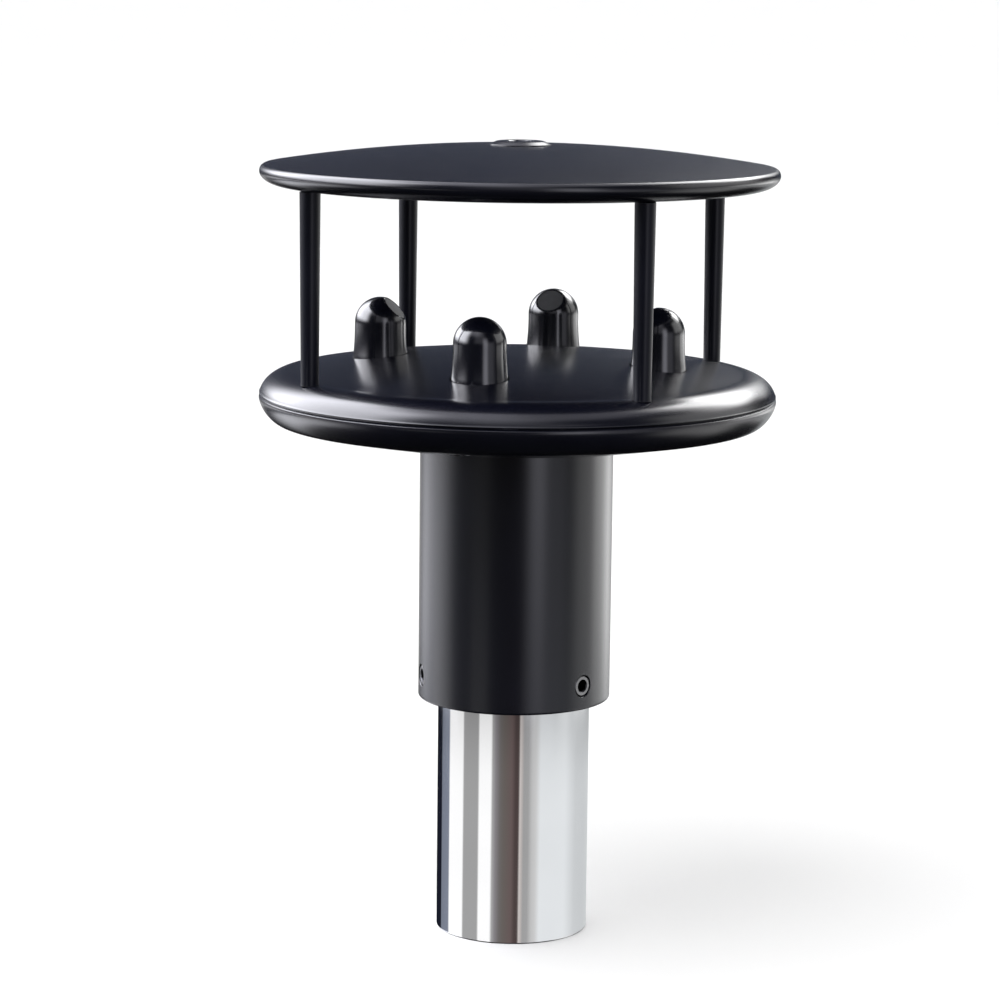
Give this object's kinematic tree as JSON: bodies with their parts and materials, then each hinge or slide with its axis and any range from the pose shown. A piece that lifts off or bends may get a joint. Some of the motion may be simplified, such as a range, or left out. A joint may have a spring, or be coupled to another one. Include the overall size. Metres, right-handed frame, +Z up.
{
  "type": "ultrasonic anemometer",
  "caption": "Solid-state wind sensor with a round reflector plate on posts over angled sound pods, clamped by its neck to the end of a polished mast tube.",
  "frame": {"origin": "centre of the mast tube's lower cut end", "axes": "+Z up along the mast tube; +X and +Y point at two neighbouring sound pods"},
  "size_m": [0.1422, 0.1422, 0.2201],
  "materials": {
    "stainless_tube": "mirror-polished stainless steel",
    "black_coating": "semi-gloss black coating over aluminium",
    "plug_coating": "semi-gloss black coating over aluminium",
    "sensor_face": "matt dark grey filled epoxy",
    "stainless_screw": "bright stainless fasteners",
    "dark_steel": "dull grey steel set screws",
    "seal_rubber": "matt black nitrile",
    "piezo_ceramic": "fired ceramic with silvered faces",
    "nickel": "nickel-plated brass",
    "laminate": "green solder-masked board with its components",
    "insulator": "black moulded insert with gold pins",
    "wire_jacket": "red wire jacket",
    "loom_sleeve": "black sleeve"
  },
  "bodies": {
    "mast": {"mast_tube": "stainless_tube"},
    "head": {"neck": "black_coating", "neck_oring": "seal_rubber", "base_shell": "black_coating", "seam_oring": "seal_rubber", "deck_plate": "black_coating", "post_1": "black_coating", "post_screw_1": "stainless_screw", "post_2": "black_coating", "post_screw_2": "stainless_screw", "post_3": "black_coating", "post_screw_3": "stainless_screw", "post_4": "black_coating", "post_screw_4": "stainless_screw", "top_plate": "black_coating", "top_plug": "plug_coating", "transducer_pod_1": "black_coating", "transducer_face_1": "sensor_face", "piezo_disc_1": "piezo_ceramic", "pod_nut_1": "nickel", "pod_oring_1": "seal_rubber", "pod_lead_1": "wire_jacket", "transducer_pod_2": "black_coating", "transducer_face_2": "sensor_face", "piezo_disc_2": "piezo_ceramic", "pod_nut_2": "nickel", "pod_oring_2": "seal_rubber", "pod_lead_2": "wire_jacket", "transducer_pod_3": "black_coating", "transducer_face_3": "sensor_face", "piezo_disc_3": "piezo_ceramic", "pod_nut_3": "nickel", "pod_oring_3": "seal_rubber", "pod_lead_3": "wire_jacket", "transducer_pod_4": "black_coating", "transducer_face_4": "sensor_face", "piezo_disc_4": "piezo_ceramic", "pod_nut_4": "nickel", "pod_oring_4": "seal_rubber", "pod_lead_4": "wire_jacket", "neck_screw_1": "stainless_screw", "shell_screw_1": "stainless_screw", "neck_screw_2": "stainless_screw", "shell_screw_2": "stainless_screw", "neck_screw_3": "stainless_screw", "shell_screw_3": "stainless_screw", "neck_screw_4": "stainless_screw", "shell_screw_4": "stainless_screw", "main_board": "laminate", "board_screw_1": "stainless_screw", "board_screw_2": "stainless_screw", "board_screw_3": "stainless_screw", "connector_socket": "nickel", "connector_nut": "nickel", "connector_insert": "insulator", "connector_harness": "loom_sleeve"},
    "set_screw_1": {"set_screw_1": "dark_steel"},
    "set_screw_2": {"set_screw_2": "dark_steel"},
    "set_screw_3": {"set_screw_3": "dark_steel"}
  },
  "joints": [
    {"name": "head_swivel", "type": "hinge", "parent": "mast", "child": "head", "pos_m": [0, 0, 0.0727], "axis": [0, 0, 1], "range_deg": [-180, 180]},
    {"name": "set_screw_1_travel", "type": "slide", "parent": "head", "child": "set_screw_1", "axis": [0, 1, 0], "range_m": [0, 0.004]},
    {"name": "set_screw_2_travel", "type": "slide", "parent": "head", "child": "set_screw_2", "axis": [-0.866, -0.5, 0], "range_m": [0, 0.004]},
    {"name": "set_screw_3_travel", "type": "slide", "parent": "head", "child": "set_screw_3", "axis": [0.866, -0.5, 0], "range_m": [0, 0.004]}
  ]
}
